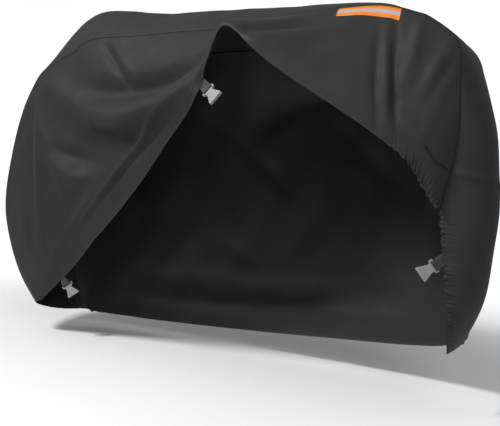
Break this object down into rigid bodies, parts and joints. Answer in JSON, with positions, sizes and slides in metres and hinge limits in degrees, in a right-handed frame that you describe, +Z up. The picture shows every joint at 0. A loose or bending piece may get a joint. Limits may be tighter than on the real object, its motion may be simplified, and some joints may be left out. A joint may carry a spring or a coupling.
{
  "type": "bicycle cover",
  "caption": "Fitted cloth cover in the shape of a covered bicycle, near side lifted into a tent, with webbing straps and buckles at its hem.",
  "frame": {"origin": "the middle of the length, on the inner face of the top strip, where the cover is carried", "axes": "+X along the cover towards its front end, -Y towards the side with the lifted hem, +Z up"},
  "size_m": [1.8697, 0.6954, 1.174],
  "materials": {
    "cover_cloth": "coated woven polyester, matt with a faint sheen",
    "webbing": "woven polypropylene webbing",
    "buckle": "moulded acetal, fine satin",
    "tape": "reflective tape in straight bands of orange and silver"
  },
  "bodies": {
    "root": {"top_strip": "cover_cloth", "near_side": "cover_cloth", "far_side": "cover_cloth", "tape": "tape", "slit_welt": "cover_cloth", "rear_strap": "webbing", "middle_strap": "webbing", "front_strap": "webbing", "rear_buckle": "buckle", "middle_buckle": "buckle", "front_buckle": "buckle"}
  },
  "joints": []
}
